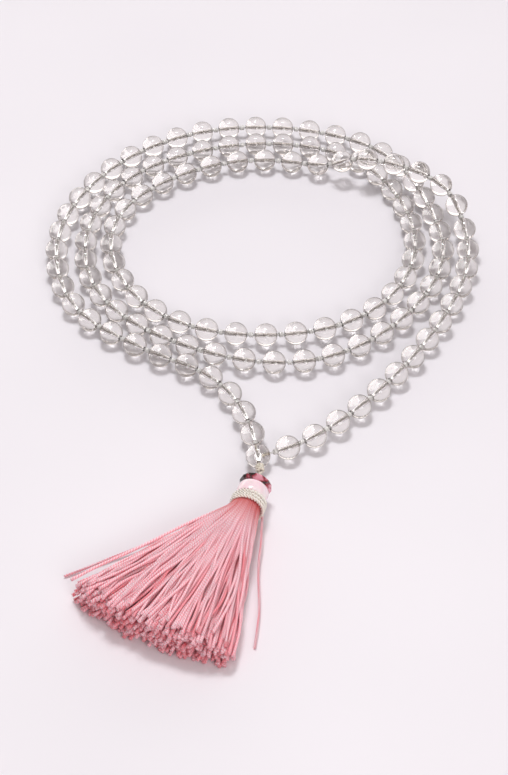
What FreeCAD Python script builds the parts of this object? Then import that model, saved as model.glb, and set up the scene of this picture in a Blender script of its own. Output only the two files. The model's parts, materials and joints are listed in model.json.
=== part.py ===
import FreeCAD, Part
import math
import os

# Mala: round drilled crystal beads, one by one between knots of a single cord, wound flat in three
# turns with two strands that run to a three-hole guru bead, and a thread tassel below that bead.
# +Z is up, the tassel points towards -Y, and the origin is the bottom centre of the whole model's box.

Vector = FreeCAD.Vector
UP = Vector(0, 0, 1)

# Beads and the cord that they are knotted on, in mm
bead_diameter = 8.0
bead_bore_diameter = 1.0
bore_mouth_diameter = 1.9
cord_diameter = 0.6
knot_diameter = 2.1
knot_play = 0.18            # free length between a knot and the mouth of the next bead
single_beads = 20           # beads on each side of the guru bead that are nodes of their own

# The wound strand
coil_half_width = 54.3      # inner turn, across
coil_half_depth = 48.9      # inner turn, along Y
side_gap = 1.4              # free space between two turns at the sides
back_gap = 2.6              # the same at the back
front_slack = 4.6           # how much further the middle turn lies out at the front
slack_angle = -70.0         # and where on the coil it does so most
waviness = 0.45             # how far a turn wanders in and out
strand_drop = 43.5          # guru bead centre in front of the middle turn
guru_aside = -1.9           # guru bead centre beside the coil's centre
left_strand_leaves = 186.0  # angle on the coil where the left strand leaves the outer turn
right_strand_leaves = -5.0
left_strand_pull = (1.514, 1.582)    # how strongly a strand keeps its direction at the guru bead and the coil,
right_strand_pull = (0.686, 0.760)   # as multiples of the straight distance between its ends
left_strand_heading = 98.0  # directions in which the strands leave the guru bead
right_strand_heading = 17.0
strand_gap = 0.4            # least free space between a strand and the middle turn
shift_angles = (64.0, 8.0)  # the stretch at the back right in which each turn moves to the next row
crossing_gap = 0.5          # free height between the crossing strand and the beads below it
rise_share = 0.34           # part of that stretch in which the crossing strand climbs

# Guru bead and the cord end below it
guru_diameter = 8.0
tassel_bore_diameter = 1.9
tail_diameter = 1.5
finishing_knot_diameter = 3.0
finishing_knot_gap = 0.25
tail_heading = -85.0
neck_length = 0.5           # of the tail below the finishing knot

# Tassel, all lengths along its own line from the swing point
tassel_heading = -106.0
link_length = 2.2
swing_gap = 0.2
ring_start = 4.6
ring_diameter = 10.6
ring_thickness = 2.5
ring_bore_play = 0.1
part_gap = 0.2
cap_length = 5.2
cap_diameter = 10.2
cap_wall = 1.1
tie_diameter = 1.3
stopper_diameter = 2.8
wrap_count = 3
wrap_diameter = 1.3
floor_gap = 0.2
skirt_length = 58.0
skirt_left_heading = -149.5
skirt_right_heading = -93.0
skirt_height = 11.8
thread_diameter = 0.9
stray_headings = (-153.0, -89.0)
stray_lengths = (52.0, 46.0)

# Worked out from the sizes above
bead_radius = bead_diameter / 2
guru_radius = guru_diameter / 2
bead_length = math.sqrt(bead_diameter ** 2 - bore_mouth_diameter ** 2)
bead_pitch = bead_length + knot_diameter + 2 * knot_play
last_turn = 2
path_steps = 300            # fine steps along each strand and per 100 degrees of the winding
row_step = bead_diameter + side_gap
crossing_height = bead_diameter + crossing_gap
guru_from_coil = coil_half_depth + row_step + front_slack + strand_drop


def direction(degrees, slope=0.0):
    a = math.radians(degrees)
    s = math.radians(slope)
    return Vector(math.cos(a) * math.cos(s), math.sin(a) * math.cos(s), math.sin(s))


def ease(t):
    t = min(max(t, 0.0), 1.0)
    return t * t * (3 - 2 * t)


def turn_point(angle, row, lift=0.0):
    """A point of the winding: row 0 is the inner turn and row 2 the outer one."""
    a = math.radians(angle)
    back = (back_gap - side_gap) * max(0.0, math.sin(a)) ** 2
    front = front_slack * max(0.0, math.cos(a - math.radians(slack_angle))) ** 4
    wander = waviness * math.sin(5 * a + 1.9 * row)
    width = coil_half_width + row * row_step + wander
    depth = coil_half_depth + row * (row_step + back + front) + wander
    return Vector(width * math.cos(a), depth * math.sin(a), bead_radius + lift)


def row_at(wound, shift_start, shift_length):
    """Row and height after `wound` degrees: the strand moves in twice, then crosses back over."""
    steps = [ease((wound - shift_start - 360 * k) / shift_length) for k in range(last_turn)]
    t = (wound - shift_start - 360 * last_turn) / shift_length
    row = last_turn - sum(steps) + last_turn * ease(t)
    lift = crossing_height * ease(t / rise_share + 0.25) * ease((1 - t) / rise_share + 0.25)
    return row, lift


def hermite(start, end, start_pull, end_pull, count):
    for i in range(count):
        t = i / count
        yield (start * (2 * t ** 3 - 3 * t ** 2 + 1) + start_pull * (t ** 3 - 2 * t ** 2 + t)
               + end * (3 * t ** 2 - 2 * t ** 3) + end_pull * (t ** 3 - t ** 2))


def clear_of_turn(point, row):
    """The point, moved out to where beads on it stay clear of the beads on that turn."""
    angle = math.degrees(math.atan2(point.y / coil_half_depth, point.x / coil_half_width))
    nearby = [angle + step / 4 for step in range(-60, 61)]
    angle = min(nearby, key=lambda a: (turn_point(a, row) - point).Length)
    near = turn_point(angle, row)
    outward = (turn_point(angle + 0.1, row) - turn_point(angle - 0.1, row)).cross(UP).normalize()
    short = bead_diameter + strand_gap - (point - near).dot(outward)
    return point + outward * max(0.0, short)


def strand_path(guru):
    """Closely spaced points from the guru bead's left knot, round the winding, to its right knot."""
    reach = guru_radius + (bead_pitch - bead_length) / 2
    first = guru + direction(left_strand_heading) * reach
    last = guru + direction(right_strand_heading) * reach
    full_wind = left_strand_leaves - right_strand_leaves + 360 * last_turn
    shift_start = left_strand_leaves - shift_angles[0]
    shift_length = shift_angles[0] - shift_angles[1]
    winding = []
    steps = int(full_wind / 100 * path_steps)
    for i in range(steps + 1):
        wound = full_wind * i / steps
        row, lift = row_at(wound, shift_start, shift_length)
        winding.append(turn_point(left_strand_leaves - wound, row, lift))
    left_end = (winding[1] - winding[0]).normalize()
    right_end = (winding[-1] - winding[-2]).normalize()
    left_pull = [share * (winding[0] - first).Length for share in left_strand_pull]
    right_pull = [share * (winding[-1] - last).Length for share in right_strand_pull]
    left = hermite(first, winding[0], direction(left_strand_heading) * left_pull[0],
                   left_end * left_pull[1], path_steps)
    right = hermite(winding[-1], last, right_end * right_pull[1],
                    direction(right_strand_heading) * -right_pull[0], path_steps)
    left = [clear_of_turn(p, 1) for p in left]
    right = [clear_of_turn(p, 1) for p in right]
    return left + winding + right[1:] + [last]


def walk(path, pitch):
    """Points of the path that are one pitch apart in a straight line, and what is left at its end."""
    knots = [path[0]]
    i = 1
    here = path[0]
    while i < len(path):
        ahead = path[i]
        if (ahead - knots[-1]).Length < pitch:
            here = ahead
            i += 1
            continue
        low, high = 0.0, 1.0
        for _ in range(40):
            mid = (low + high) / 2
            if (here + (ahead - here) * mid - knots[-1]).Length < pitch:
                low = mid
            else:
                high = mid
        here = here + (ahead - here) * high
        knots.append(here)
    return knots, (path[-1] - knots[-1]).Length


def knot_places(path):
    """The knots, at the pitch nearest to the one wanted that ends exactly on the last knot."""
    knots, rest = walk(path, bead_pitch)
    count = len(knots) - 1 + round(rest / bead_pitch)
    low, high = bead_pitch * (1 - 1.5 / count), bead_pitch * (1 + 1.5 / count)
    for _ in range(50):
        pitch = (low + high) / 2
        knots, rest = walk(path, pitch)
        if len(knots) - 1 >= count:
            low = pitch
        else:
            high = pitch
    knots, rest = walk(path, high)
    return knots[:count] + [path[-1]]


def rod(start, end, diameter):
    return Part.makeCylinder(diameter / 2, (end - start).Length, start, end - start)


def ball(centre, diameter, poles=UP):
    return Part.makeSphere(diameter / 2, centre, poles)


def drilled_bead(diameter):
    """A ball with a bore along Z and a countersunk mouth at each end, about the origin."""
    radius = diameter / 2
    bore = bead_bore_diameter / 2
    mouth = bore_mouth_diameter / 2
    mouth_z = math.sqrt(radius ** 2 - mouth ** 2)
    bore_z = mouth_z - (mouth - bore)
    wall = [Vector(mouth, 0, -mouth_z), Vector(bore, 0, -bore_z), Vector(bore, 0, bore_z), Vector(mouth, 0, mouth_z)]
    edges = [Part.LineSegment(p, q).toShape() for p, q in zip(wall, wall[1:])]
    edges.append(Part.Arc(wall[-1], Vector(radius, 0, 0), wall[0]).toShape())
    face = Part.Face(Part.Wire(edges))
    return face.revolve(Vector(), UP, 360)


def placed(shape, centre, axis):
    copy = shape.copy()
    copy.Placement = FreeCAD.Placement(centre, FreeCAD.Rotation(UP, axis))
    return copy


def guru_bead(centre, left, right, below):
    """The guru bead: two strand bores and a wider tassel bore that meet at its centre."""
    shape = ball(centre, guru_diameter)
    chamfer = (bore_mouth_diameter - bead_bore_diameter) / 2
    for way, bore in ((left, bead_bore_diameter), (right, bead_bore_diameter), (below, tassel_bore_diameter)):
        mouth = bore / 2 + chamfer
        rim = math.sqrt(guru_radius ** 2 - mouth ** 2)
        cone = Part.makeCone(bore / 2, mouth + chamfer, 2 * chamfer, centre + way * (rim - chamfer), way)
        shape = shape.cut(rod(centre, centre + way * guru_diameter, bore)).cut(cone)
    return shape.cut(ball(centre, tassel_bore_diameter))


def revolved_ring(start, way, outline):
    """A ring about the line from start along way; outline holds (radius, distance) pairs."""
    points = [Vector(r, 0, s) for r, s in outline]
    face = Part.Face(Part.makePolygon(points + points[:1]))
    return placed(face.revolve(Vector(), UP, 360), start, way)


def skirt_solid(neck_start, neck_end, way, neck_diameter):
    """The tassel's threads as one body: a round neck in the binding, then a flat fan with a round end."""
    side = UP.cross(way)
    half = neck_diameter / 2
    root = Vector(neck_end.x, neck_end.y, 0)
    corners = [root + side * half, root - side * half]
    ends = [root + direction(h) * skirt_length for h in (skirt_right_heading, skirt_left_heading)]
    middle = root + direction((skirt_left_heading + skirt_right_heading) / 2) * skirt_length
    edges = [
        Part.LineSegment(corners[1], corners[0]).toShape(),
        Part.LineSegment(corners[0], ends[0]).toShape(),
        Part.Arc(ends[0], middle, ends[1]).toShape(),
        Part.LineSegment(ends[1], corners[1]).toShape(),
    ]
    fan = Part.Face(Part.Wire(edges)).extrude(Vector(0, 0, skirt_height))
    return fan.fuse(rod(neck_start, neck_end, neck_diameter))


def build():
    """Every node's shape, in a frame whose origin is on the floor under the coil's centre."""
    nodes = {}
    guru = Vector(guru_aside, -guru_from_coil, guru_radius)
    path = strand_path(guru)
    knots = knot_places(path)
    count = len(knots) - 1
    half_bead = drilled_bead(bead_diameter)
    beads = [placed(half_bead, (p + q) * 0.5, q - p) for p, q in zip(knots, knots[1:])]
    for i in range(single_beads):
        nodes["left_bead_%02d" % (i + 1)] = beads[i]
        nodes["right_bead_%02d" % (i + 1)] = beads[count - 1 - i]
    rows = {"outer_row_beads": [], "middle_row_beads": [], "inner_row_beads": []}
    for i in range(single_beads, count - single_beads):
        rows[bead_row((knots[i] + knots[i + 1]) * 0.5)].append(beads[i])
    for name, group in rows.items():
        nodes[name] = Part.makeCompound(group)

    left = (knots[0] - guru).normalize()
    right = (knots[-1] - guru).normalize()
    below = direction(tail_heading)
    nodes["guru_bead"] = guru_bead(guru, left, right, below)

    inside = guru_radius - cord_diameter * 1.5
    runs = [guru + left * inside] + knots + [guru + right * inside]
    ways = [(q - p).normalize() for p, q in zip(runs, runs[1:])]
    pieces = [rod(p, q, cord_diameter) for p, q in zip(runs, runs[1:])]
    pieces += [ball(k, knot_diameter, before + after) for k, before, after in zip(knots, ways, ways[1:])]
    nodes["strand_cord"] = pieces[0].multiFuse(pieces[1:])

    knot_centre = guru + below * (guru_radius + finishing_knot_gap + finishing_knot_diameter / 2)
    neck_end = knot_centre + below * (finishing_knot_diameter / 2 + neck_length)
    swing = neck_end + below * (swing_gap + tail_diameter)
    legs = [rod(guru + way * inside, guru, cord_diameter) for way in (left, right)]
    tail = rod(guru, neck_end, tail_diameter)
    nodes["finishing_knot"] = tail.multiFuse(legs + [
        ball(guru, tail_diameter), ball(knot_centre, finishing_knot_diameter), ball(neck_end, tail_diameter)])

    wrap_radius = cap_diameter / 2 + floor_gap / 2
    axis_height = wrap_radius + wrap_diameter / 2 + floor_gap
    level = direction(tassel_heading)
    ring_front = swing + level * ring_start
    ring_front.z = axis_height
    lift = swing + (ring_front - swing) * (link_length / (ring_front - swing).Length)
    slant = (ring_front - swing).normalize()
    ball_reach = tail_diameter / 2
    nodes["tassel_link"] = rod(swing, lift - slant * (ball_reach + swing_gap), tail_diameter).fuse(
        ball(swing, tail_diameter))

    ring_bore = tie_diameter / 2 + ring_bore_play
    ring = ring_diameter / 2
    belt = ring_thickness / 2
    nodes["garnet_ring"] = revolved_ring(ring_front, level, [
        (ring_bore, 0.0), (ring * 0.62, 0.0), (ring * 0.9, belt * 0.42), (ring, belt * 0.85),
        (ring, belt * 1.15), (ring * 0.9, belt * 1.58), (ring * 0.62, ring_thickness), (ring_bore, ring_thickness)])

    cap_start = ring_front + level * (ring_thickness + part_gap)
    cap_end = cap_start + level * cap_length
    cap = rod(cap_start, cap_end, cap_diameter)
    hollow = rod(cap_start + level * cap_wall, cap_end, cap_diameter - 2 * cap_wall)
    hole = rod(cap_start, cap_end, tie_diameter + 2 * ring_bore_play)
    nodes["tassel_cap"] = cap.cut(hollow).cut(hole)

    stopper = cap_start + level * (cap_length * 0.55)
    tie_start = lift + slant * (ball_reach * 0.2)
    nodes["tie_cord"] = rod(tie_start, ring_front, tie_diameter).multiFuse([
        ball(lift, tail_diameter), ball(ring_front, tie_diameter), rod(ring_front, stopper, tie_diameter),
        ball(stopper, stopper_diameter)])
    pocket = rod(cap_start, stopper, tie_diameter).fuse(ball(stopper, stopper_diameter))
    core = rod(cap_start + level * cap_wall, cap_end, cap_diameter - 2 * cap_wall)
    nodes["head_core"] = core.cut(pocket)

    wraps = []
    for i in range(wrap_count):
        centre = cap_end + level * (part_gap + wrap_diameter / 2 + i * (wrap_diameter + 0.02))
        wraps.append(Part.makeTorus(wrap_radius, wrap_diameter / 2, centre, level))
    nodes["neck_binding"] = Part.makeCompound(wraps)
    binding_length = part_gap * 2 + wrap_count * (wrap_diameter + 0.02)
    neck_diameter = 2 * wrap_radius - wrap_diameter - 0.1
    skirt_start = cap_end + level * binding_length
    nodes["thread_skirt"] = skirt_solid(cap_end, skirt_start, level, neck_diameter)

    strays = []
    side = UP.cross(level)
    for heading, length, hand in zip(stray_headings, stray_lengths, (-1, 1)):
        root = skirt_start + side * (hand * (neck_diameter / 2 + thread_diameter))
        root.z = thread_diameter / 2
        root = root + direction(heading) * thread_diameter
        strays.append(rod(root, root + direction(heading) * length, thread_diameter))
    nodes["stray_threads"] = Part.makeCompound(strays)

    marks = {"swing": swing, "lift": lift, "level": level, "ring": ring_front, "knots": knots, "guru": guru}
    return nodes, marks


def bead_row(centre):
    """The name of the row that a bead of the winding lies in, by the turn that passes nearest to it."""
    angle = math.degrees(math.atan2(centre.y / coil_half_depth, centre.x / coil_half_width))
    names = ["inner_row_beads", "middle_row_beads", "outer_row_beads"]
    return names[min(range(last_turn + 1), key=lambda row: (turn_point(angle, row) - centre).Length)]


def place_origin(nodes):
    """The move that puts the origin at the bottom centre of everything but the cord."""
    box = FreeCAD.BoundBox()
    for name, shape in nodes.items():
        if name != "strand_cord":
            box.add(shape.BoundBox)
    return Vector(-box.Center.x, -box.Center.y, -box.ZMin)


def main():
    os.makedirs("parts", exist_ok=True)
    nodes, marks = build()
    move = place_origin(nodes)
    for name, shape in nodes.items():
        shape.translate(move)
        shape.exportStep("parts/%s.step" % name)
        print(name, "valid" if shape.isValid() else "NOT VALID", len(shape.Solids), "solids")
    knots = marks["knots"]
    pitch = (knots[1] - knots[0]).Length
    print("beads on the strand", len(knots) - 1, "pitch", round(pitch, 3))
    print("strand length", round(pitch * (len(knots) - 1), 1), "knot play",
          round((pitch - bead_length - knot_diameter) / 2, 3))
    return nodes, marks, move


main()
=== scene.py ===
import bpy
import json
import math
import random
import numpy as np
from mathutils import Matrix, Vector


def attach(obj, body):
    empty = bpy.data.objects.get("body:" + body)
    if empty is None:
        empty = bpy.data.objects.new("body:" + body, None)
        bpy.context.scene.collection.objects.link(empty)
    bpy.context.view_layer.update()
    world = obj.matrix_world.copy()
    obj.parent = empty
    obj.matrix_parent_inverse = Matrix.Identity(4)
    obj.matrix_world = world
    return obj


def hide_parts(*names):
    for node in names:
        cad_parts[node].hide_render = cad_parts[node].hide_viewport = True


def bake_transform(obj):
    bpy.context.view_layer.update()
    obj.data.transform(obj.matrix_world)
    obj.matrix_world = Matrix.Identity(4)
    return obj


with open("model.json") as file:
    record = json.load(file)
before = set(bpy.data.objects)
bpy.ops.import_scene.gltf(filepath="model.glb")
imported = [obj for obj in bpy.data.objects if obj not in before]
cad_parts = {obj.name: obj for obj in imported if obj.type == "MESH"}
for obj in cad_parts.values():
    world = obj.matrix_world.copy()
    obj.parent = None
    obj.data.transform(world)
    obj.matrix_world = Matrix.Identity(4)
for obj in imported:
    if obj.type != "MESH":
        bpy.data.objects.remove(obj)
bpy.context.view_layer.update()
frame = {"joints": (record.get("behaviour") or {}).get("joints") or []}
bpy.ops.object.select_all(action="DESELECT")
up = Vector((0, 0, 1))
jointPlace = {j["name"]: Vector(j["pos_m"]) for j in frame["joints"]}
jointAxis = {j["name"]: Vector(j["axis"]).normalized() for j in frame["joints"]}


# the strand's route, with one knot at every control point
strand = {
    "beadDiameter": 0.008, "boreDiameter": 0.0010, "mouthDiameter": 0.0019,
    "cordDiameter": 0.0006, "knotDiameter": 0.0021, "knotPlay": 0.00018, "strandGap": 0.0004,
    "singleBeads": 20,
    "halfWidth": 0.0543, "halfDepth": 0.0489, "sideGap": 0.0014, "backGap": 0.0026,
    "frontSlack": 0.0046, "slackAngle": -70, "waviness": 0.00045, "waveCount": 5, "wavePhase": 1.9,
    "guruDrop": 0.0435, "guruAside": -0.0019, "leavesLeft": 186, "leavesRight": -5,
    "pullLeft": (1.514, 1.582), "pullRight": (0.686, 0.760), "headingLeft": 98, "headingRight": 17,
    "shiftAngles": (64, 8), "crossingGap": 0.0005, "riseShare": 0.34, "riseEarly": 0.25, "lastTurn": 2,
    "pathSteps": 300, "searchStep": 0.25, "searchSteps": 60, "pointHalvings": 40, "pitchHalvings": 50,
}
beadRadius = strand["beadDiameter"] / 2
rowStep = strand["beadDiameter"] + strand["sideGap"]
beadLength = math.sqrt(strand["beadDiameter"] ** 2 - strand["mouthDiameter"] ** 2)
beadPitch = beadLength + strand["knotDiameter"] + 2 * strand["knotPlay"]


def heading(degrees):
    a = math.radians(degrees)
    return Vector((math.cos(a), math.sin(a), 0))


def ease(t):
    t = min(max(t, 0.0), 1.0)
    return t * t * (3 - 2 * t)


def turnPoint(angle, row, lift=0.0):
    a = math.radians(angle)
    back = (strand["backGap"] - strand["sideGap"]) * max(0.0, math.sin(a)) ** 2
    front = strand["frontSlack"] * max(0.0, math.cos(a - math.radians(strand["slackAngle"]))) ** 4
    wander = strand["waviness"] * math.sin(strand["waveCount"] * a + strand["wavePhase"] * row)
    width = strand["halfWidth"] + row * rowStep + wander
    depth = strand["halfDepth"] + row * (rowStep + back + front) + wander
    return Vector((width * math.cos(a), depth * math.sin(a), beadRadius + lift))


def rowAt(wound, shiftStart, shiftLength):
    last = strand["lastTurn"]
    steps = [ease((wound - shiftStart - 360 * k) / shiftLength) for k in range(last)]
    t = (wound - shiftStart - 360 * last) / shiftLength
    row = last - sum(steps) + last * ease(t)
    climb, early = strand["riseShare"], strand["riseEarly"]
    height = strand["beadDiameter"] + strand["crossingGap"]
    return row, height * ease(t / climb + early) * ease((1 - t) / climb + early)


def bow(start, end, startPull, endPull, count):
    for i in range(count):
        t = i / count
        yield (start * (2 * t ** 3 - 3 * t ** 2 + 1) + startPull * (t ** 3 - 2 * t ** 2 + t)
               + end * (3 * t ** 2 - 2 * t ** 3) + endPull * (t ** 3 - t ** 2))


def clearOfTurn(point, row):
    # moved out to where beads on the point stay clear of the beads on that turn
    angle = math.degrees(math.atan2(point.y / strand["halfDepth"], point.x / strand["halfWidth"]))
    steps = range(-strand["searchSteps"], strand["searchSteps"] + 1)
    nearby = [angle + step * strand["searchStep"] for step in steps]
    angle = min(nearby, key=lambda a: (turnPoint(a, row) - point).length)
    near = turnPoint(angle, row)
    outward = (turnPoint(angle + 0.1, row) - turnPoint(angle - 0.1, row)).cross(up).normalized()
    short = strand["beadDiameter"] + strand["strandGap"] - (point - near).dot(outward)
    return point + outward * max(0.0, short)


def strandPath(guru):
    reach = beadRadius + (beadPitch - beadLength) / 2
    first = guru + heading(strand["headingLeft"]) * reach
    last = guru + heading(strand["headingRight"]) * reach
    fullWind = strand["leavesLeft"] - strand["leavesRight"] + 360 * strand["lastTurn"]
    shiftStart = strand["leavesLeft"] - strand["shiftAngles"][0]
    shiftLength = strand["shiftAngles"][0] - strand["shiftAngles"][1]
    steps = int(fullWind / 100 * strand["pathSteps"])  # pathSteps for each 100 degrees
    winding = []
    for i in range(steps + 1):
        wound = fullWind * i / steps
        winding.append(turnPoint(strand["leavesLeft"] - wound, *rowAt(wound, shiftStart, shiftLength)))
    leftEnd = (winding[1] - winding[0]).normalized()
    rightEnd = (winding[-1] - winding[-2]).normalized()
    leftPull = [share * (winding[0] - first).length for share in strand["pullLeft"]]
    rightPull = [share * (winding[-1] - last).length for share in strand["pullRight"]]
    left = bow(first, winding[0], heading(strand["headingLeft"]) * leftPull[0],
               leftEnd * leftPull[1], strand["pathSteps"])
    right = bow(winding[-1], last, rightEnd * rightPull[1],
                heading(strand["headingRight"]) * -rightPull[0], strand["pathSteps"])
    left = [clearOfTurn(p, 1) for p in left]
    right = [clearOfTurn(p, 1) for p in right]
    return left + winding + right[1:] + [last]


def walkPath(path, pitch):
    knots = [path[0]]
    i = 1
    here = path[0]
    while i < len(path):
        if (path[i] - knots[-1]).length < pitch:
            here = path[i]
            i += 1
            continue
        low, high = 0.0, 1.0
        for _ in range(strand["pointHalvings"]):
            mid = (low + high) / 2
            if (here + (path[i] - here) * mid - knots[-1]).length < pitch:
                low = mid
            else:
                high = mid
        here = here + (path[i] - here) * high
        knots.append(here)
    return knots, (path[-1] - knots[-1]).length


def knotPlaces(path):
    knots, rest = walkPath(path, beadPitch)
    count = len(knots) - 1 + round(rest / beadPitch)
    low, high = beadPitch * (1 - 1.5 / count), beadPitch * (1 + 1.5 / count)
    for _ in range(strand["pitchHalvings"]):
        pitch = (low + high) / 2
        knots, rest = walkPath(path, pitch)
        if len(knots) - 1 >= count:
            low = pitch
        else:
            high = pitch
    knots, rest = walkPath(path, high)
    return knots[:count] + [path[-1]]


coilToGuru = strand["halfDepth"] + rowStep + strand["frontSlack"] + strand["guruDrop"]
guru = Vector((strand["guruAside"], -coilToGuru, beadRadius))
knots = knotPlaces(strandPath(guru))
move = jointPlace["left_bead_01_spin"] - (knots[0] + knots[1]) / 2
coilCentre = move.copy()
knots = [k + move for k in knots]
guru = guru + move
beadCount = len(knots) - 1
leftWay = (knots[0] - guru).normalized()
rightWay = (knots[-1] - guru).normalized()
worst = max((jointPlace["right_bead_%02d_spin" % (i + 1)] - (knots[-1 - i] + knots[-2 - i]) / 2).length
            for i in range(strand["singleBeads"]))
print("beads on the strand:", beadCount, "furthest from its spin joint, m:", round(worst, 7))

# camera, at the height and distance that the object is looked at from
camera = {"elevation": 43.18, "distance": 0.738, "lens": 102.66, "sensor": 36, "nearest": 0.02,
          "aside": -0.0013, "behindGuru": 0.0366}
e = math.radians(camera["elevation"])
target = Vector((guru.x + camera["aside"], guru.y + camera["behindGuru"], 0))
eye = target + Vector((0, -math.cos(e), math.sin(e))) * camera["distance"]
bpy.ops.object.camera_add(location=eye, rotation=(math.pi / 2 - e, 0, 0))
cam = bpy.context.object
cam.name = "viewCamera"
cam.data.lens = camera["lens"]
cam.data.sensor_width = camera["sensor"]
cam.data.clip_start = camera["nearest"]
bpy.context.scene.camera = cam


# every cord is a bundle of round plies laid round a line
def nurbsLine(points, perSpan=16):
    data = bpy.data.curves.new("routeLine", "CURVE")
    data.dimensions = "3D"
    data.resolution_u = perSpan
    spline = data.splines.new("NURBS")
    spline.points.add(len(points) - 1)
    for p, q in zip(spline.points, points):
        p.co = (q.x, q.y, q.z, 1)
    spline.order_u = 3
    spline.use_endpoint_u = True
    holder = bpy.data.objects.new("routeLine", data)
    mesh = bpy.data.meshes.new_from_object(holder)
    line = np.array([v.co for v in mesh.vertices], float)
    bpy.data.meshes.remove(mesh)
    bpy.data.curves.remove(data)
    return line


def evenPoints(line, step):
    along = np.concatenate([[0], np.cumsum(np.linalg.norm(np.diff(line, axis=0), axis=1))])
    at = np.linspace(0, along[-1], max(3, math.ceil(along[-1] / step) + 1))
    return np.stack([np.interp(at, along, line[:, k]) for k in range(3)], axis=1), at


def sidesAlong(points):
    ways = np.gradient(points, axis=0)
    ways /= np.linalg.norm(ways, axis=1)[:, None]
    start = np.cross([0, 0, 1], ways[0])
    if np.linalg.norm(start) < 0.1:
        start = np.cross([1, 0, 0], ways[0])
    side = start / np.linalg.norm(start)
    sides = []
    for w in ways:
        side = side - w * np.dot(side, w)
        side = side / np.linalg.norm(side)
        sides.append(side)
    sides = np.array(sides)
    return sides, np.cross(ways, sides)


def tubes(name, runs, around):
    # each run is (centres, one side, other side, radii, distance along, tone), and ends in flat caps
    verts, faces, uvs, tones = [], [], [], []
    first = 0
    angles = 2 * np.pi * np.arange(around) / around
    for centres, a, b, radii, along, tone in runs:
        count = len(centres)
        ring = centres[:, None] + radii[:, None, None] * (
            np.cos(angles)[None, :, None] * a[:, None] + np.sin(angles)[None, :, None] * b[:, None])
        verts.append(ring.reshape(-1, 3))
        tones.append(np.full(count * around, tone))
        i, j = np.meshgrid(np.arange(count - 1), np.arange(around), indexing="ij")
        k = (j + 1) % around
        here, ahead = i * around, (i + 1) * around
        quads = np.stack([here + j, here + k, ahead + k, ahead + j], axis=-1)
        faces += (quads.reshape(-1, 4) + first).tolist()
        s0, s1, v0, v1 = along[i], along[i + 1], j / around, (j + 1) / around
        uvs.append(np.stack([s0, v0, s0, v1, s1, v1, s1, v0], axis=-1).reshape(-1, 2))
        for end, order in ((0, range(around - 1, -1, -1)), (count - 1, range(around))):
            faces.append([first + end * around + n for n in order])
            uvs.append(np.array([[along[end], n / around] for n in order]))
        first += count * around
    mesh = bpy.data.meshes.new(name)
    mesh.from_pydata(np.concatenate(verts).tolist(), [], faces)
    layer = mesh.uv_layers.new(name="alongCord")
    layer.data.foreach_set("uv", np.concatenate(uvs).astype(np.float32).ravel())
    toneLayer = mesh.attributes.new("tone", "FLOAT", "POINT")
    toneLayer.data.foreach_set("value", np.concatenate(tones).astype(np.float32))
    mesh.shade_smooth()
    obj = bpy.data.objects.new(name, mesh)
    bpy.context.scene.collection.objects.link(obj)
    return obj


def plyRuns(line, diameter, plies, twist, step, tone=0.5, startAngle=0.0, startAlong=0.0, swell=1.04):
    # swell presses each ply a little into its neighbours
    points, along = evenPoints(line, step)
    a, b = sidesAlong(points)
    ply = diameter / (2 * (1 + 1 / math.sin(math.pi / plies)))
    off = diameter / 2 - ply
    runs = []
    for n in range(plies):
        turned = 2 * np.pi * (along / twist + n / plies) + startAngle
        c, s = np.cos(turned)[:, None], np.sin(turned)[:, None]
        runs.append((points + off * (c * a + s * b), c * a + s * b, -s * a + c * b,
                     np.full(len(points), ply * swell), (along + startAlong) * 1000, tone))
    return runs


def tidyPiece(obj, name, body, replaced, material):
    obj.name = name
    obj.data.name = name
    obj.data.materials.clear()
    obj.data.materials.append(material)
    if body is not None:  # a piece with no body is blended between two
        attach(obj, body)
    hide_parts(*replaced)
    return obj


def makeActive(obj):
    bpy.ops.object.select_all(action="DESELECT")
    obj.select_set(True)
    bpy.context.view_layer.objects.active = obj


def bakePlace(obj):
    makeActive(obj)
    bpy.ops.object.transform_apply(location=True, rotation=True, scale=True)


def copyAt(obj, matrix):
    mesh = obj.data.copy()
    mesh.transform(matrix)
    new = bpy.data.objects.new(obj.name, mesh)
    bpy.context.scene.collection.objects.link(new)
    return new


def joined(objects):
    makeActive(objects[0])
    for o in objects:
        o.select_set(True)
    bpy.ops.object.join()
    return objects[0]


def turnTo(place, axis):
    return Matrix.Translation(place) @ Vector(axis).to_track_quat("Z", "Y").to_matrix().to_4x4()


def triangles(obj):
    return sum(len(p.vertices) - 2 for p in obj.data.polygons)


def newMaterial(name):
    mat = bpy.data.materials.new(name)
    mat.use_nodes = True
    tree = mat.node_tree
    shader = tree.nodes["Principled BSDF"]
    return mat, tree, shader


def addNode(tree, kind, **values):
    node = tree.nodes.new(kind)
    for key, value in values.items():
        if key in node.inputs:
            node.inputs[key].default_value = value
        else:
            setattr(node, key, value)
    return node


def setInputs(node, values):
    for name, value in values.items():
        node.inputs[name].default_value = value


def feed(tree, source, socket):
    # a socket takes another node's output, a colour or a number
    if isinstance(source, bpy.types.NodeSocket):
        tree.links.new(source, socket)
    elif isinstance(source, tuple):
        socket.default_value = (*source, 1)
    else:
        socket.default_value = source


def mathNode(tree, operation, *sources):
    node = addNode(tree, "ShaderNodeMath", operation=operation)
    for source, socket in zip(sources, node.inputs):
        feed(tree, source, socket)
    return node.outputs["Value"]


def mixColours(tree, share, first, second, blend="MIX"):
    node = addNode(tree, "ShaderNodeMix", data_type="RGBA", blend_type=blend)
    feed(tree, share, node.inputs[0])
    feed(tree, first, node.inputs[6])
    feed(tree, second, node.inputs[7])
    return node.outputs[2]


def mapRange(tree, source, fromRange, toRange=(0.0, 1.0), kind="LINEAR"):
    node = addNode(tree, "ShaderNodeMapRange", interpolation_type=kind)
    setInputs(node, {"From Min": fromRange[0], "From Max": fromRange[1]})
    setInputs(node, {"To Min": toRange[0], "To Max": toRange[1]})
    feed(tree, source, node.inputs["Value"])
    return node.outputs["Result"]


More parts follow.
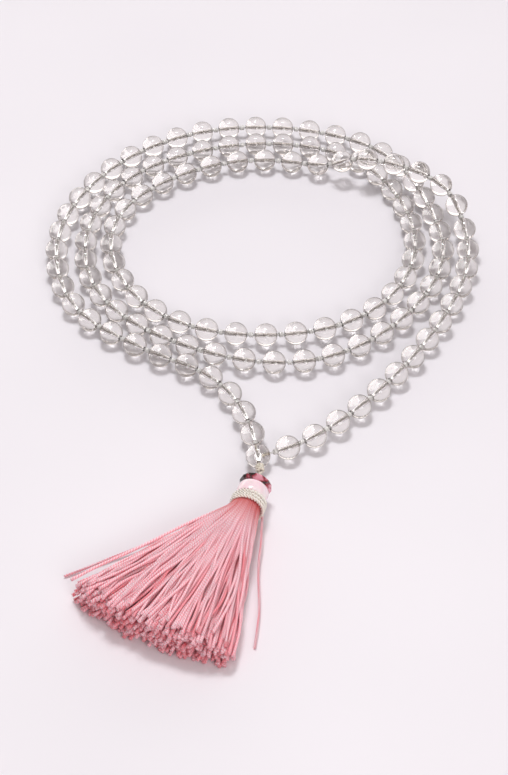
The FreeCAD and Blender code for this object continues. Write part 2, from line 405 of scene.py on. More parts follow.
def colourRamp(tree, source, stops):
    ramp = addNode(tree, "ShaderNodeValToRGB")
    while len(ramp.color_ramp.elements) < len(stops):
        ramp.color_ramp.elements.new(0.5)
    for element, (place, colour) in zip(ramp.color_ramp.elements, stops):
        element.position = place
        element.color = (*colour, 1)
    feed(tree, source, ramp.inputs["Fac"])
    return ramp.outputs["Color"]


def objectNoise(tree, scale, detail=2.0):
    coords = addNode(tree, "ShaderNodeTexCoord")
    noise = addNode(tree, "ShaderNodeTexNoise", Scale=scale, Detail=detail)
    feed(tree, coords.outputs["Object"], noise.inputs["Vector"])
    return noise.outputs["Fac"]


def addBump(tree, shader, height, strength, distance):
    bump = addNode(tree, "ShaderNodeBump", Strength=strength, Distance=distance)
    feed(tree, height, bump.inputs["Height"])
    feed(tree, bump.outputs["Normal"], shader.inputs["Normal"])


crystal = {
    "veilScale": 420, "veilDetail": 4,
    "veilTones": [(0.35, (1.0, 0.986, 0.966)), (0.75, (0.975, 0.95, 0.93))],
    # the darker colour, its width and its range paint shade into the glass towards the edge
    "rim": (0.33, 0.265, 0.235), "rimWidth": 0.45, "rimRange": (0.29, 0.80), "rough": (0.0, 0.008),
    "boreGrey": (0.58, 0.53, 0.50), "boreRough": 0.28, "surface": {"Transmission Weight": 1.0, "IOR": 1.54},
}


def crystalGlass():
    mat, tree, shader = newMaterial("clearCrystal")
    veil = objectNoise(tree, crystal["veilScale"], crystal["veilDetail"])
    tint = colourRamp(tree, veil, crystal["veilTones"])
    # painted shade: the glass's colour is darkened towards its edge, standing in for the dark arcs that the
    # shadowed floor gives by refraction
    facing = addNode(tree, "ShaderNodeLayerWeight", Blend=crystal["rimWidth"])
    rim = mapRange(tree, facing.outputs["Facing"], crystal["rimRange"])
    rimShadedTint = mixColours(tree, rim, tint, crystal["rim"])
    # the middle of the bore is grey and rougher, fading to clear glass towards its mouths
    bore = addNode(tree, "ShaderNodeAttribute", attribute_name="bore").outputs["Fac"]
    feed(tree, mixColours(tree, bore, rimShadedTint, crystal["boreGrey"]), shader.inputs["Base Color"])
    polish = mapRange(tree, veil, (0.0, 1.0), crystal["rough"])
    rough = mathNode(tree, "MULTIPLY_ADD", bore, crystal["boreRough"], polish)
    feed(tree, rough, shader.inputs["Roughness"])
    setInputs(shader, crystal["surface"])
    return mat


fibres = {"across": 9.0, "detail": 3.0, "valleyShadeAt": 0.3, "crestAt": 0.68, "sheenRough": 0.4,
          "bump": (0.5, 0.00006)}
# each look's darker colour is painted shade in the grooves between fibres
cordLooks = {
    "silverStrand": {"valleyShade": (0.50, 0.47, 0.45), "crest": (1.0, 0.99, 0.97), "along": 3.0,
                     "surface": {"Roughness": 0.22, "Sheen Weight": 0.3, "Metallic": 0.12}},
    "creamCord": {"valleyShade": (0.66, 0.58, 0.46), "crest": (0.98, 0.94, 0.85), "along": 3.0,
                  "surface": {"Roughness": 0.45, "Sheen Weight": 0.4}},
    "silverBinding": {"valleyShade": (0.87, 0.78, 0.67), "crest": (1.0, 0.98, 0.94), "along": 2.0,
                      "surface": {"Roughness": 0.25, "Sheen Weight": 0.5}},
}


def cordFinish(name):
    # fine fibres along the ply, from the cord's own UV map; painted shade darkens the colour where the fibre
    # bump is low
    look = cordLooks[name]
    mat, tree, shader = newMaterial(name)
    uv = addNode(tree, "ShaderNodeUVMap", uv_map="alongCord")
    stretch = addNode(tree, "ShaderNodeMapping", Scale=(look["along"], fibres["across"], 1.0))
    feed(tree, uv.outputs["UV"], stretch.inputs["Vector"])
    noise = addNode(tree, "ShaderNodeTexNoise", Scale=1.0, Detail=fibres["detail"])
    feed(tree, stretch.outputs["Vector"], noise.inputs["Vector"])
    fibre = noise.outputs["Fac"]
    tones = [(fibres["valleyShadeAt"], look["valleyShade"]), (fibres["crestAt"], look["crest"])]
    feed(tree, colourRamp(tree, fibre, tones), shader.inputs["Base Color"])
    setInputs(shader, look["surface"])
    setInputs(shader, {"Sheen Roughness": fibres["sheenRough"]})
    addBump(tree, shader, fibre, *fibres["bump"])
    return mat


thread = {
    "diameter": 0.00090, "twist": 1.8, "bump": (0.4, 0.00015),
    # the ply colours hold painted shade in the groove, the thread's own pink and a painted highlight on each
    # ply
    "plyShadeAndHighlight": [(0.05, (0.93, 0.31, 0.36)), (0.45, (0.98, 0.42, 0.48)), (0.95, (1.0, 0.66, 0.71))],
    # the dark red near the head is painted shade, fading out along the threads
    "root": (0.80, 0.10, 0.09), "rootShadeShare": 0.85, "rootShadeRange": (7.0, 17.0),
    "ownTonesAndShade": [(0.0, (0.86, 0.46, 0.48)), (0.35, (0.96, 0.84, 0.86)), (0.75, (1, 1, 1))],
    "surface": {"Roughness": 0.42, "Subsurface Weight": 0.3, "Subsurface Radius": (0.0022, 0.0009, 0.0009),
                "Subsurface Scale": 1.0, "Sheen Weight": 0.25, "Sheen Roughness": 0.3,
                "Sheen Tint": (1.0, 0.78, 0.82, 1)},
}


def threadFinish():
    # two plies wound round each other: painted shade makes the groove between them a dark helix round the
    # thread, and a painted highlight lightens the middle of each ply
    mat, tree, shader = newMaterial("silkThread")
    uv = addNode(tree, "ShaderNodeUVMap", uv_map="alongCord")
    split = addNode(tree, "ShaderNodeSeparateXYZ")
    feed(tree, uv.outputs["UV"], split.inputs["Vector"])
    along, around = split.outputs["X"], split.outputs["Y"]
    turns = mathNode(tree, "DIVIDE", along, thread["twist"])
    angle = mathNode(tree, "MULTIPLY", mathNode(tree, "ADD", turns, around), 2 * math.pi)
    plies = mathNode(tree, "ABSOLUTE", mathNode(tree, "SINE", angle))
    tone = colourRamp(tree, plies, thread["plyShadeAndHighlight"])
    # painted shade: the threads are darkened to a dark red where they crowd out from under the binding, over
    # a range given in millimetres along them
    rootShadeShare = mapRange(tree, along, thread["rootShadeRange"], (thread["rootShadeShare"], 0.0))
    rootShaded = mixColours(tree, rootShadeShare, tone, thread["root"])
    # each thread's own tone: random, with painted shade making threads in the lower rows darker on average
    own = addNode(tree, "ShaderNodeAttribute", attribute_name="tone")
    ownToneAndShade = colourRamp(tree, own.outputs["Fac"], thread["ownTonesAndShade"])
    feed(tree, mixColours(tree, 1.0, rootShaded, ownToneAndShade, "MULTIPLY"), shader.inputs["Base Color"])
    setInputs(shader, thread["surface"])
    addBump(tree, shader, plies, *thread["bump"])
    return mat


garnet = {
    "patchScale": 265, "rough": (0.02, 0.12),
    "patchTones": [(0.43, (0.014, 0.0004, 0.0014)), (0.48, (0.38, 0.010, 0.030)), (0.55, (0.98, 0.42, 0.52))],
    "surface": {"Transmission Weight": 0.2, "IOR": 1.7, "Coat Weight": 1.0, "Coat Roughness": 0.03},
}


def garnetGlass():
    mat, tree, shader = newMaterial("garnetGlass")
    # painted reflection and shade: the facets' colour runs in patches from near-black to bright pink,
    # standing for facets that mirror dark and bright surroundings
    patches = objectNoise(tree, garnet["patchScale"])
    feed(tree, colourRamp(tree, patches, garnet["patchTones"]), shader.inputs["Base Color"])
    feed(tree, mapRange(tree, patches, (0.0, 1.0), garnet["rough"]), shader.inputs["Roughness"])
    setInputs(shader, garnet["surface"])
    return mat


rose = {
    "patchScale": 160, "cloudDetail": 3, "patchTones": [(0.3, (0.95, 0.66, 0.72)), (0.7, (1.0, 0.86, 0.88))],
    "bump": (0.08, 0.0002),
    "surface": {"Roughness": 0.12, "Subsurface Weight": 0.35, "Subsurface Radius": (0.003, 0.0015, 0.002),
                "Subsurface Scale": 0.6, "Coat Weight": 0.8, "Coat Roughness": 0.04},
}


def roseGlass():
    mat, tree, shader = newMaterial("milkyRose")
    patches = objectNoise(tree, rose["patchScale"], rose["cloudDetail"])
    feed(tree, colourRamp(tree, patches, rose["patchTones"]), shader.inputs["Base Color"])
    setInputs(shader, rose["surface"])
    addBump(tree, shader, patches, *rose["bump"])
    return mat


crystalMat = crystalGlass()
strandMat = cordFinish("silverStrand")
creamMat = cordFinish("creamCord")
bindingMat = cordFinish("silverBinding")
threadMat = threadFinish()
garnetMat = garnetGlass()
roseMat = roseGlass()
print("finishes made")


# the strand cord and its knots
cordPly = {"plies": 3, "twist": 0.0022, "step": 0.00030, "around": 5, "endInset": 1.5, "seed": 11}
innerEnd = beadRadius - strand["cordDiameter"] * cordPly["endInset"]
controlPoints = [guru + leftWay * innerEnd] + knots + [guru + rightWay * innerEnd]
strandLine = nurbsLine(controlPoints)
spans = len(controlPoints) - 2


def strandAt(span):
    # place and direction on the strand's line; whole numbers are bead centres, halves are knots
    at = span / spans * (len(strandLine) - 1)
    low = min(int(at), len(strandLine) - 2)
    p = Vector(strandLine[low]).lerp(Vector(strandLine[low + 1]), at - low)
    before = Vector(strandLine[max(low - 1, 0)])
    after = Vector(strandLine[min(low + 2, len(strandLine) - 1)])
    return p, (after - before).normalized()


strandKnot = {"turnRadius": 0.00062, "turnCord": 0.00040, "turnShift": 0.00036, "turnLean": 0.42,
              "turnSides": 5, "riserRadius": 0.00058, "riserCord": 0.00036, "riserShift": 0.00022,
              "riserLean": (1.25, 0.5), "riserSides": 4, "around": 9}


def knotLoop(kind, place, lean):
    bpy.ops.mesh.primitive_torus_add(
        major_segments=strandKnot["around"], minor_segments=strandKnot[kind + "Sides"],
        major_radius=strandKnot[kind + "Radius"], minor_radius=strandKnot[kind + "Cord"],
        location=place, rotation=lean)
    return bpy.context.object


def knotShape():
    # two slanted turns of the cord and one strand that comes up between them
    shift, lean = strandKnot["turnShift"], (strandKnot["turnLean"], 0, 0)
    parts = [knotLoop("turn", (0, 0, -shift), lean), knotLoop("turn", (0, 0, shift), lean)]
    parts.append(knotLoop("riser", (0, strandKnot["riserShift"], 0), (*strandKnot["riserLean"], 0)))
    shape = joined(parts)
    bakePlace(shape)
    bpy.ops.object.shade_smooth()
    shape.data.uv_layers[0].name = "alongCord"
    shape.data.attributes.new("tone", "FLOAT", "POINT")
    return shape


rng = random.Random(cordPly["seed"])
knot = knotShape()
strandRuns = plyRuns(strandLine, strand["cordDiameter"], cordPly["plies"], cordPly["twist"], cordPly["step"])
strandParts = [tubes("strandCord", strandRuns, cordPly["around"])]
for k in range(beadCount + 1):
    place, way = strandAt(k + 0.5)
    spin = Matrix.Rotation(rng.uniform(0, 2 * math.pi), 4, "Z")
    strandParts.append(copyAt(knot, turnTo(place, way) @ spin))
bpy.data.objects.remove(knot)
strandCord = joined(strandParts)
tidyPiece(strandCord, "strandCord", "root", ["strand_cord"], strandMat)


# the crystal beads
beadShape = {"around": 44, "rings": 26, "boreCuts": 5, "clearMouth": 2.2, "crease": 34,
             "mouthMargin": 0.0001, "edgeMargin": 0.00001, "boreMargin": 0.00005}


def drilledBead():
    bpy.ops.mesh.primitive_uv_sphere_add(segments=beadShape["around"], ring_count=beadShape["rings"],
                                         radius=beadRadius)
    bead = bpy.context.object
    mesh = bead.data
    bpy.ops.object.mode_set(mode="EDIT")
    bpy.ops.mesh.select_mode(type="VERT")
    bpy.ops.mesh.select_all(action="DESELECT")
    bpy.ops.object.mode_set(mode="OBJECT")
    for v in mesh.vertices:
        v.select = math.hypot(v.co.x, v.co.y) < strand["mouthDiameter"] / 2 - beadShape["mouthMargin"]
    bpy.ops.object.mode_set(mode="EDIT")
    bpy.ops.mesh.delete(type="VERT")
    chamfer = (strand["mouthDiameter"] - strand["boreDiameter"]) / 2
    for end in (1, -1):  # each mouth is a countersink that leads into the bore
        bpy.ops.mesh.select_all(action="DESELECT")
        bpy.ops.object.mode_set(mode="OBJECT")
        top = max(v.co.z * end for v in mesh.vertices)
        for v in mesh.vertices:
            v.select = v.co.z * end > top - beadShape["edgeMargin"]
        bpy.ops.object.mode_set(mode="EDIT")
        bpy.ops.mesh.extrude_region_move(TRANSFORM_OT_translate={"value": (0, 0, -end * chamfer)})
        share = strand["boreDiameter"] / strand["mouthDiameter"]
        bpy.ops.transform.resize(value=(share, share, 1), center_override=(0, 0, 0))
    bpy.ops.mesh.select_all(action="DESELECT")
    bpy.ops.mesh.select_non_manifold(extend=False)
    bpy.ops.mesh.bridge_edge_loops(number_cuts=beadShape["boreCuts"])
    bpy.ops.mesh.select_all(action="SELECT")
    bpy.ops.mesh.normals_make_consistent(inside=False)
    bpy.ops.object.mode_set(mode="OBJECT")
    bpy.ops.object.shade_smooth_by_angle(angle=math.radians(beadShape["crease"]))
    boreHalf = top - chamfer
    boreGrey = mesh.attributes.new("bore", "FLOAT", "POINT")  # 1 in the middle of the bore, 0 at its mouths
    for v, value in zip(mesh.vertices, boreGrey.data):
        if math.hypot(v.co.x, v.co.y) < strand["boreDiameter"] / 2 + beadShape["boreMargin"]:
            value.value = max(0.0, 1 - beadShape["clearMouth"] * (v.co.z / boreHalf) ** 2)
    return bead


rowNodes = ["inner_row_beads", "middle_row_beads", "outer_row_beads"]


def rowOf(centre):
    # the turn of the coil that the bead lies on, counted from the inside
    here = centre - coilCentre
    angle = math.degrees(math.atan2(here.y / strand["halfDepth"], here.x / strand["halfWidth"]))
    return min(range(len(rowNodes)), key=lambda row: (turnPoint(angle, row) - here).length)


bead = drilledBead()
rowBeads = [[] for node in rowNodes]
for i in range(beadCount):
    place, way = strandAt(i + 1)
    spin = Matrix.Rotation(rng.uniform(0, 2 * math.pi), 4, "Z")
    newBead = copyAt(bead, turnTo(place, way) @ spin)
    number = min(i + 1, beadCount - i)  # counted from the guru bead along its own side of the strand
    hand = "left" if number == i + 1 else "right"
    if number > strand["singleBeads"]:
        rowBeads[rowOf(place)].append(newBead)
        continue
    node = "%s_bead_%02d" % (hand, number)
    tidyPiece(newBead, "%sBead%02d" % (hand, number), node, [node], crystalMat)
for node, beads in reversed(list(zip(rowNodes, rowBeads))):
    tidyPiece(joined(beads), node.split("_")[0] + "RowBeads", "root", [node], crystalMat)
bpy.data.objects.remove(bead)
print("beads placed")


# the guru bead, with two strand bores and the wider tassel bore
guruBead = {"strandBore": 0.0010, "tasselBore": 0.0019, "tailHeading": -85, "around": 40, "rings": 20,
            "drillSides": 20, "drillReach": 1.3}
belowWay = heading(guruBead["tailHeading"])


def bored(obj, way, diameter):
    bpy.ops.mesh.primitive_cylinder_add(vertices=guruBead["drillSides"], radius=diameter / 2,
                                        depth=beadRadius * guruBead["drillReach"])
    drill = bpy.context.object
    drill.data.transform(turnTo(guru + Vector(way) * beadRadius * (guruBead["drillReach"] / 2), way))
    cut = obj.modifiers.new("bore", "BOOLEAN")
    cut.operation = "DIFFERENCE"
    cut.object = drill
    makeActive(obj)
    bpy.ops.object.modifier_apply(modifier="bore")
    bpy.data.objects.remove(drill)


bpy.ops.mesh.primitive_uv_sphere_add(segments=guruBead["around"], ring_count=guruBead["rings"],
                                     radius=beadRadius, location=guru)
guruPiece = bpy.context.object
bakePlace(guruPiece)
bored(guruPiece, leftWay, guruBead["strandBore"])
bored(guruPiece, rightWay, guruBead["strandBore"])
bored(guruPiece, belowWay, guruBead["tasselBore"])
makeActive(guruPiece)
bpy.ops.object.shade_smooth_by_angle(angle=math.radians(beadShape["crease"]))
tidyPiece(guruPiece, "guruBead", "root", ["guru_bead"], crystalMat)


# the cream cord has two legs in the guru bead, the finishing knot and the way to the tassel
swing = jointPlace["tassel_swing"]
lift = jointPlace["tassel_lift"]
ringPlace = jointPlace["ring_spin"]
level = jointAxis["ring_spin"]
if level.dot(ringPlace - guru) < 0:
    level = -level
tail = {"diameter": 0.0015, "tieDiameter": 0.0013, "twist": 0.0032, "step": 0.0002, "around": 10,
        "knotDiameter": 0.0030, "knotGap": 0.00025, "belowKnot": 0.0016, "insideHead": (0.0035, 0.0062),
        "bendHalf": 0.0007}
leg = {"diameter": 0.00085, "twist": 0.0021, "step": 0.00016, "endInset": 0.0010, "bendIn": 0.0012,
       "bendOut": 0.0010, "bendAside": 0.0004, "mouthInset": 0.0006, "mouthAside": 0.00036,
       "knotAside": 0.0002}
knotTurns = {"count": 3.4, "radius": 0.00098, "pitch": 0.00072, "cord": 0.00105, "twist": 0.0021,
             "points": 96, "perSpan": 3, "step": 0.00018, "around": 7}
knotCentre = guru + belowWay * (beadRadius + tail["knotGap"] + tail["knotDiameter"] / 2)


def legLine(way, side):
    bend = guru + belowWay * leg["bendOut"] + side * leg["bendAside"]
    mouth = guru + belowWay * (beadRadius - leg["mouthInset"]) + side * leg["mouthAside"]
    return nurbsLine([guru + way * (beadRadius - leg["endInset"]), guru + way * leg["bendIn"], bend,
                      mouth, knotCentre + side * leg["knotAside"]])


acrossTail = up.cross(belowWay).normalized()
tailParts = []
for way, side in ((rightWay, acrossTail), (leftWay, -acrossTail)):
    tailParts += plyRuns(legLine(way, side), leg["diameter"], 2, leg["twist"], leg["step"])
coils = []
for i in range(knotTurns["points"] + 1):
    t = i / knotTurns["points"] * knotTurns["count"]
    a = 2 * math.pi * t
    coils.append(knotCentre + belowWay * ((t - knotTurns["count"] / 2) * knotTurns["pitch"])
                 + (acrossTail * math.cos(a) + up * math.sin(a)) * knotTurns["radius"])
coilLine = nurbsLine(coils, knotTurns["perSpan"])
tailParts += plyRuns(coilLine, knotTurns["cord"], 2, knotTurns["twist"], knotTurns["step"])
creamTail = tubes("finishingKnot", tailParts, knotTurns["around"])
tidyPiece(creamTail, "finishingKnot", "root", ["finishing_knot"], creamMat)

linkLine = nurbsLine([knotCentre, knotCentre + belowWay * tail["belowKnot"], swing, swing.lerp(lift, 0.45),
                      swing.lerp(lift, 0.75)])
link = tubes("tailCord", plyRuns(linkLine, tail["diameter"], 2, tail["twist"], tail["step"]), tail["around"])
tidyPiece(link, "tailCord", None, ["tassel_link"], creamMat)
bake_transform(link)
tieLine = nurbsLine([swing.lerp(lift, 0.55), lift, lift.lerp(ringPlace, 0.5), ringPlace]
                    + [ringPlace + level * reach for reach in tail["insideHead"]])
tie = tubes("tieCord", plyRuns(tieLine, tail["tieDiameter"], 2, tail["twist"], tail["step"]), tail["around"])
tidyPiece(tie, "tieCord", None, ["tie_cord"], creamMat)
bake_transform(tie)
print("cream cord made")


def turnedShape(outline, around, place, way, crease):
    # a circle drawn out loop by loop along the outline of (radius, distance) and closed on itself
    bpy.ops.object.select_all(action="DESELECT")
    bpy.ops.mesh.primitive_circle_add(vertices=around, radius=outline[0][0], location=(0, 0, 0))
    obj = bpy.context.object
    obj.data.transform(Matrix.Translation((0, 0, outline[0][1])))
    bpy.ops.object.mode_set(mode="EDIT")
    bpy.ops.mesh.select_all(action="SELECT")
    radius, z = outline[0]
    for r, s in list(outline[1:]) + [outline[0]]:
        bpy.ops.mesh.extrude_region_move(TRANSFORM_OT_translate={"value": (0, 0, s - z)})
        bpy.ops.transform.resize(value=(r / radius, r / radius, 1), center_override=(0, 0, s))
        radius, z = r, s
    bpy.ops.mesh.select_all(action="SELECT")
    bpy.ops.mesh.remove_doubles(threshold=0.00002)
    bpy.ops.mesh.normals_make_consistent(inside=False)
    bpy.ops.object.mode_set(mode="OBJECT")
    obj.data.transform(turnTo(place, way))
    if crease is None:
        bpy.ops.object.shade_flat()
    else:
        bpy.ops.object.shade_smooth_by_angle(angle=math.radians(crease))
    return obj


# the garnet ring has flat facets, with a belt round the middle of its edge
ringShape = {"diameter": 0.0106, "thickness": 0.0025, "bore": 0.0014, "play": 0.0001, "facets": 14,
             "tableShare": 0.62, "crownShare": 0.88, "crownAt": 0.40, "beltAt": 0.86}
ringRadius, belt = ringShape["diameter"] / 2, ringShape["thickness"] / 2
halfRing = [(ringShape["bore"] / 2 + ringShape["play"], 0.0), (ringRadius * ringShape["tableShare"], 0.0),
            (ringRadius * ringShape["crownShare"], belt * ringShape["crownAt"]),
            (ringRadius, belt * ringShape["beltAt"])]
ringOutline = halfRing + [(r, ringShape["thickness"] - z) for r, z in reversed(halfRing)]
ring = turnedShape(ringOutline, ringShape["facets"], ringPlace, level, None)
tidyPiece(ring, "garnetRing", "garnet_ring", ["garnet_ring"], garnetMat)

# the cap is a hollow cup with a round shoulder and a soft lip
head = {"partGap": 0.0002, "capLength": 0.0052, "capDiameter": 0.0102, "capWall": 0.0011, "capBore": 0.0017,
        "shoulder": 0.0016, "shoulderSteps": 6, "lip": 0.0005, "lipIn": 0.00018, "lipUp": 0.0001,
        "floorCone": 0.0002, "capSides": 48, "crease": 30}
capStart = ringPlace + level * (ringShape["thickness"] + head["partGap"])
capRadius, capBore, capLength = head["capDiameter"] / 2, head["capBore"] / 2, head["capLength"]
hollow = capRadius - head["capWall"]
capOutline = [(capBore, 0.0)]
for i in range(head["shoulderSteps"] + 1):
    a = math.pi / 2 * i / head["shoulderSteps"]
    capOutline.append((capRadius - head["shoulder"] + head["shoulder"] * math.sin(a),
                       head["shoulder"] * (1 - math.cos(a))))
capOutline += [(capRadius, capLength - head["lip"]), (capRadius - head["lipIn"], capLength - head["lipUp"]),
               (capRadius - head["lip"], capLength), (hollow, capLength),
               (hollow, head["capWall"] + head["floorCone"]), (capBore, head["capWall"])]
cap = turnedShape(capOutline, head["capSides"], capStart, level, head["crease"])
tidyPiece(cap, "tasselCap", "tassel", ["tassel_cap"], roseMat)

# the binding's wraps lie side by side below the cap and wander a little
wrap = {"count": 3, "diameter": 0.0013, "twist": 0.0021, "sideGap": 0.00002, "wander": 0.00018, "turn": 1.3,
        "outset": 0.0001, "points": 60, "perSpan": 3, "step": 0.00018, "around": 7}
wrapRadius = capRadius + wrap["outset"]
bindStart = capStart + level * (capLength + head["partGap"] + wrap["diameter"] / 2)
acrossTassel = up.cross(level).normalized()
wrapRuns = []
for i in range(wrap["count"]):
    circle = []
    for n in range(wrap["points"] + 1):
        a = 2 * math.pi * n / wrap["points"]
        lead = i * (wrap["diameter"] + wrap["sideGap"]) + wrap["wander"] * math.sin(a + i)
        circle.append(bindStart + level * lead + acrossTassel * (wrapRadius * math.cos(a))
                      + up * (wrapRadius * math.sin(a)))
    wrapRuns += plyRuns(nurbsLine(circle, wrap["perSpan"]), wrap["diameter"], 2, wrap["twist"], wrap["step"],
                        startAngle=i * wrap["turn"])
binding = tubes("neckBinding", wrapRuns, wrap["around"])
tidyPiece(binding, "neckBinding", "tassel", ["neck_binding"], bindingMat)
print("tassel head made")


# the tassel's threads leave the neck in rows and fan out over the floor
skirt = {
    "length": 0.058, "leftHeading": -148.0, "rightHeading": -95.0, "height": 0.0118, "seed": 5,
    "rows": 12, "columns": 60, "fullRow": 5, "rings": 34, "around": 7, "bends": 7, "perSpan": 5,
    "lengthSpread": 0.0030, "lengthRange": (-1, 0.35), "longerLeft": 0.05, "headLength": 0.006, "fan": 0.10,
    "loose": 44, "looseHigh": 0.95, "looseRange": (-1.6, 0.2), "looseDrift": 0.18, "looseReach": 1.13,
    "wave": 0.0016, "waveCounts": (0.6, 1.7), "riseShare": 0.5, "riseCounts": (0.6, 1.6), "phases": 6.28,
    "wavesFull": 1.15, "neckInset": 0.00015, "neckShare": 0.93, "neckBehind": 0.002, "neckBeyond": 0.0024,
    "domeEdge": 0.55, "domeDrop": 0.55, "topRoom": 1.2, "endJitter": 0.0004, "floorGap": 0.00004,
    "thinStart": 0.52, "thinLength": 0.012, "flare": 0.28, "flareLength": 0.004,
    "twistSpread": (0.85, 1.2), "twistStart": 1.5, "lowRowShade": 0.35,
}
restHeight = thread["diameter"] / 2 * (1 + skirt["flare"]) + skirt["floorGap"]
neckRadius = wrapRadius - wrap["diameter"] / 2 - skirt["neckInset"]
capEnd = capStart + level * capLength
skirtStart = capEnd + level * (head["partGap"] * 2 + wrap["count"] * (wrap["diameter"] + wrap["sideGap"]))


def ripples(chance, size, counts):
    # two sine waves, each with its size, how many there are along the thread and where they start
    return [(chance.uniform(-1, 1) * size, chance.uniform(*counts), chance.uniform(0, skirt["phases"]))
            for _ in range(2)]


def rippleAt(waves, t):
    return sum(size * math.sin(count * 2 * math.pi * t + start) for size, count, start in waves)


def threadEnd(across, high, own, chance, length):
    # higher threads end higher, under a dome that falls to the floor at both edges
    edge = skirt["domeEdge"]
    dome = 1 - skirt["domeDrop"] * max(0.0, (abs(across) - edge) / (1 - edge)) ** 2
    room = skirt["height"] - thread["diameter"] * skirt["topRoom"]
    end = Vector((skirtStart.x, skirtStart.y, 0)) + own * length
    end.z = thread["diameter"] / 2 + (high + 1) / 2 * room * dome + chance.uniform(-1, 1) * skirt["endJitter"]
    end.z = max(end.z, restHeight)
    return end


def threadRun(across, high, chance, length, drift=0.0, reach=1.0):
    # across and high run from -1 to 1 over the bundle; each thread fans out to its own heading
    x = across * math.sqrt(max(0.0, 1 - high * high / 2))
    y = high * math.sqrt(max(0.0, 1 - across * across / 2))
    packed = neckRadius * skirt["neckShare"]
    start = capEnd + acrossTassel * (x * packed) + up * (y * packed) - level * skirt["neckBehind"]
    neck = start + level * ((skirtStart - capEnd).length + skirt["neckBeyond"])
    mean = (skirt["leftHeading"] + skirt["rightHeading"]) / 2
    half = (skirt["rightHeading"] - skirt["leftHeading"]) / 2
    fanned = across + drift + chance.uniform(-1, 1) * skirt["fan"]
    own = heading(mean + half * max(-reach, min(reach, fanned)))
    length *= 1 + skirt["longerLeft"] * max(0.0, -across)
    end = threadEnd(across, high, own, chance, length)
    sideways = up.cross(own)
    waves = ripples(chance, skirt["wave"], skirt["waveCounts"])
    rise = ripples(chance, skirt["wave"] * skirt["riseShare"], skirt["riseCounts"])
    points = [start, neck]
    for n in range(1, skirt["bends"] + 1):
        t = n / skirt["bends"]
        p = neck.lerp(end, t)
        room = math.sin(math.pi * min(1.0, t * skirt["wavesFull"]) / 2)
        p += sideways * rippleAt(waves, t) * room
        p.z += rippleAt(rise, t) * room
        p.z = max(p.z, restHeight)
        points.append(p)
    step = (length + skirt["headLength"]) / skirt["rings"]
    places, distance = evenPoints(nurbsLine(points, skirt["perSpan"]), step)
    a, b = sidesAlong(places)
    grown = np.clip(distance / skirt["thinLength"], 0, 1)
    grown = grown * grown * (3 - 2 * grown)
    frayed = np.clip(1 - (distance[-1] - distance) / skirt["flareLength"], 0, 1)
    thin = skirt["thinStart"]
    radii = thread["diameter"] / 2 * (thin + (1 - thin) * grown + skirt["flare"] * frayed)
    alongThread = distance * 1000 * chance.uniform(*skirt["twistSpread"])
    alongThread = alongThread + chance.uniform(0, skirt["twistStart"])
    # the tone is random, and painted shade lowers its upper limit for threads lying in the lower rows
    tone = chance.random() * (skirt["lowRowShade"] + (1 - skirt["lowRowShade"]) * (high + 1) / 2)
    return places, a, b, radii, alongThread, tone


bundles = {"Left": [], "Middle": [], "Right": []}


def bundleAt(across):
    return list(bundles.values())[min(2, int((across + 1) * 1.5))]


chance = random.Random(skirt["seed"])
for row in range(skirt["rows"]):
    high = -1 + 2 * row / (skirt["rows"] - 1)
    count = skirt["columns"] - 2 * abs(row - skirt["fullRow"])
    for col in range(count):
        across = -1 + 2 * (col + chance.random()) / count
        length = skirt["length"] + chance.uniform(*skirt["lengthRange"]) * skirt["lengthSpread"]
        bundleAt(across).append(threadRun(across, high, chance, length))
for n in range(skirt["loose"]):  # threads that lie loosely over the others
    across = chance.uniform(-1, 1)
    length = skirt["length"] + chance.uniform(*skirt["looseRange"]) * skirt["lengthSpread"]
    drift = chance.uniform(-1, 1) * skirt["looseDrift"]
    bundleAt(across).append(threadRun(across, skirt["looseHigh"], chance, length, drift, skirt["looseReach"]))
for part, runs in reversed(bundles.items()):
    bundle = tubes("tasselThreads" + part, runs, skirt["around"])
    tidyPiece(bundle, "tasselThreads" + part, "tassel", ["thread_skirt", "head_core"], threadMat)
    print("threads", part.lower(), len(runs), "triangles", triangles(bundle))

# two stray threads lie beside the skirt and come down to the floor along their way
stray = {"diameter": 0.00095, "twist": 0.0017, "step": 0.0002, "around": 7, "perSpan": 12, "bends": 5,
         "outset": 0.9, "startHeight": 0.0036, "endHeight": 0.0006, "fall": 0.0024, "behind": 0.001,
         "beyond": 0.004, "wavePhase": 1.9, "tone": 0.9, "startAlong": 0.020}
strays = [{"heading": -154.5, "length": 0.056, "hand": -1, "wave": 0.0003},
          {"heading": -92.0, "length": 0.050, "hand": 1, "wave": 0.0006}]
strayRuns = []
for own in strays:
    start = skirtStart + acrossTassel * (own["hand"] * (neckRadius + thread["diameter"] * stray["outset"]))
    start.z = stray["startHeight"]
    way = heading(own["heading"])
    over = up.cross(way)
    points = [start - level * stray["behind"], start + way * stray["beyond"]]
    for n in range(1, stray["bends"] + 1):
        wave = own["wave"] * math.sin(stray["wavePhase"] * n + own["hand"])
        p = start + way * (own["length"] * n / stray["bends"]) + over * wave
        p.z = stray["endHeight"] + stray["fall"] * (stray["bends"] - n) / stray["bends"]
        points.append(p)
    strayLine = nurbsLine(points, stray["perSpan"])
    strayRuns += plyRuns(strayLine, stray["diameter"], 2, stray["twist"], stray["step"],
                         tone=stray["tone"], startAlong=stray["startAlong"])
strayPiece = tubes("strayThreads", strayRuns, stray["around"])
tidyPiece(strayPiece, "strayThreads", "tassel", ["stray_threads"], threadMat)
print("tassel threads made")


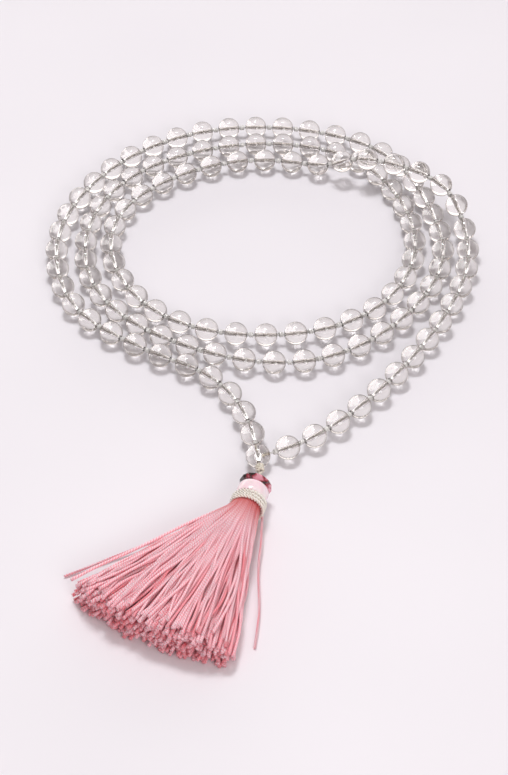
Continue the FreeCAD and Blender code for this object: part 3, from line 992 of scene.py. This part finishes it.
# the floor
floorLook = {"size": 3.0, "rough": 0.6, "patchScale": 6,
             "patchTones": [(0.3, (0.80, 0.77, 0.805)), (0.7, (0.84, 0.81, 0.845))]}
bpy.ops.mesh.primitive_plane_add(size=floorLook["size"], location=(0, 0, 0))
floor = bpy.context.object
floor.name = "paleFloor"
floorMat, floorTree, floorShader = newMaterial("paleFloor")
floorTone = colourRamp(floorTree, objectNoise(floorTree, floorLook["patchScale"]), floorLook["patchTones"])
feed(floorTree, floorTone, floorShader.inputs["Base Color"])
setInputs(floorShader, {"Roughness": floorLook["rough"]})
floor.data.materials.append(floorMat)

lights = {
    "keyWindow": {"place": (-0.08, 0.30, 1.00), "size": (0.30, 0.22), "watts": 5.3,
                  "colour": (0.98, 0.985, 1.0)},
    "ceilingSheet": {"place": (-0.05, 0.15, 1.10), "size": (1.10, 0.90), "watts": 1.2,
                     "colour": (1.0, 0.98, 0.97)},
    "fillSheet": {"place": (0.25, -0.80, 0.50), "size": (0.50, 0.34), "watts": 2.9,
                  "colour": (1.0, 0.99, 0.99)},
}
for name, spec in lights.items():
    stand = Vector(spec["place"])
    bpy.ops.object.light_add(type="AREA", location=stand)
    lamp = bpy.context.object
    lamp.name = name
    lamp.rotation_euler = (-stand).to_track_quat("-Z", "Y").to_euler()
    lamp.data.shape = "RECTANGLE"
    lamp.data.size, lamp.data.size_y = spec["size"]
    lamp.data.energy = spec["watts"]
    lamp.data.color = spec["colour"]

# the room has a bright pale wall behind the object, up to wallTop
room = {
    "heightTones": [(0.0, (0.56, 0.51, 0.50)), (0.25, (0.44, 0.395, 0.385)), (0.8, (0.64, 0.60, 0.60))],
    "wall": (3.0, 2.9, 2.86), "wallSide": (0.35, 0.80), "wallTop": (0.45, 0.30), "strength": 0.63,
}
world = bpy.data.worlds.new("softRoom")
bpy.context.scene.world = world
world.use_nodes = True
roomTree = world.node_tree
roomWays = addNode(roomTree, "ShaderNodeSeparateXYZ")
feed(roomTree, addNode(roomTree, "ShaderNodeTexCoord").outputs["Generated"], roomWays.inputs["Vector"])
roomTone = colourRamp(roomTree, roomWays.outputs["Z"], room["heightTones"])
wallSide = mapRange(roomTree, roomWays.outputs["Y"], room["wallSide"], kind="SMOOTHSTEP")
wallTop = mapRange(roomTree, roomWays.outputs["Z"], room["wallTop"], kind="SMOOTHSTEP")
wallShare = mathNode(roomTree, "MULTIPLY", wallSide, wallTop)
background = roomTree.nodes["Background"]
feed(roomTree, mixColours(roomTree, wallShare, roomTone, room["wall"]), background.inputs["Color"])
setInputs(background, {"Strength": room["strength"]})
bpy.context.scene.view_settings.view_transform = "Standard"
print("light and floor set")
